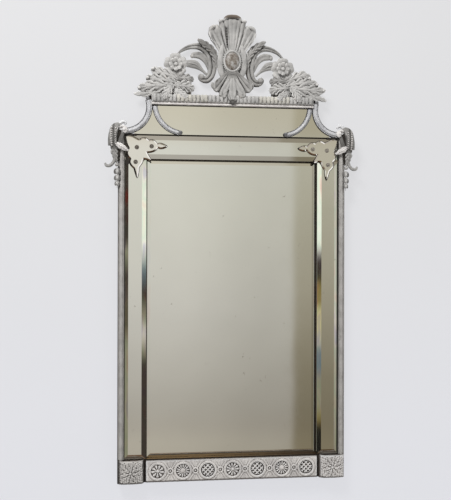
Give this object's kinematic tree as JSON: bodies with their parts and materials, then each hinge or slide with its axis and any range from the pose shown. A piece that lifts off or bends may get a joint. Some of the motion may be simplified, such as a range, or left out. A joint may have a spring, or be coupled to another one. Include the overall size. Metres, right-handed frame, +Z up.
{
  "type": "venetian mirror",
  "caption": "Tall wall mirror with bevelled glass border plates, a glazed pediment and a carved, silvered wooden surround with scrolled ears and an openwork crest; hangs on strap hangers.",
  "frame": {"origin": "on the back face, on the centre line, at the height of the two hanger pivots", "axes": "+X to the right as seen from the front, +Y towards the wall, +Z up"},
  "size_m": [0.88, 0.068, 1.6],
  "materials": {
    "silvered_wood": "carved wood, whitewashed and silvered, worn to brown on the high spots",
    "pine": "bare aged pine",
    "mirror_glass": "bevelled mirror glass, lightly foxed",
    "rosette_glass": "moulded glass heads",
    "steel": "dull steel",
    "cabochon": "domed wood under worn silver leaf"
  },
  "bodies": {
    "mirror": {"back_plank_left": "pine", "back_plank_middle": "pine", "back_plank_right": "pine", "backboard_screws": "steel", "base_block_left": "silvered_wood", "base_block_right": "silvered_wood", "base_rail": "silvered_wood", "bellflower_drop_left": "silvered_wood", "bellflower_drop_right": "silvered_wood", "block_rosette_left": "silvered_wood", "block_rosette_right": "silvered_wood", "border_plate_left": "mirror_glass", "border_plate_right": "mirror_glass", "border_plate_top": "mirror_glass", "carcass_bottom_rail": "pine", "carcass_stile_left": "pine", "carcass_stile_right": "pine", "carcass_top_rail": "pine", "corner_plate_left": "mirror_glass", "corner_plate_right": "mirror_glass", "corner_rosettes_left": "rosette_glass", "corner_rosettes_right": "rosette_glass", "cornice_fillet": "silvered_wood", "cornice_gadroons": "silvered_wood", "cornice_rail": "silvered_wood", "crest_brace": "pine", "crest_brace_screws": "steel", "crest_cartouche": "silvered_wood", "crest_drop": "silvered_wood", "crest_flower_left": "silvered_wood", "crest_flower_right": "silvered_wood", "crest_medallion": "cabochon", "crest_medallion_rim": "silvered_wood", "crest_scroll_left": "silvered_wood", "crest_scroll_right": "silvered_wood", "crest_spray_left": "silvered_wood", "crest_spray_right": "silvered_wood", "ear_scroll_left": "silvered_wood", "ear_scroll_right": "silvered_wood", "hanger_screws": "steel", "hanger_strap_left": "steel", "hanger_strap_right": "steel", "main_plate": "mirror_glass", "pediment_arc_left": "silvered_wood", "pediment_arc_right": "silvered_wood", "pediment_backing": "pine", "pediment_bar_left": "silvered_wood", "pediment_bar_right": "silvered_wood", "pediment_dowels": "pine", "pediment_plate_centre": "mirror_glass", "pediment_plate_left": "mirror_glass", "pediment_plate_right": "mirror_glass", "rail_beads": "silvered_wood", "rail_medallions": "silvered_wood", "stile_moulding_left": "silvered_wood", "stile_moulding_right": "silvered_wood", "tenon_pegs": "pine"},
    "ring_left": {"hanger_ring_left": "steel"},
    "ring_right": {"hanger_ring_right": "steel"}
  },
  "joints": [
    {"name": "left_ring_swing", "type": "hinge", "parent": "mirror", "child": "ring_left", "pos_m": [-0.358, -0.006, 0], "axis": [1, 0, 0], "range_deg": [0, 180]},
    {"name": "right_ring_swing", "type": "hinge", "parent": "mirror", "child": "ring_right", "pos_m": [0.358, -0.006, 0], "axis": [1, 0, 0], "range_deg": [0, 180]}
  ]
}
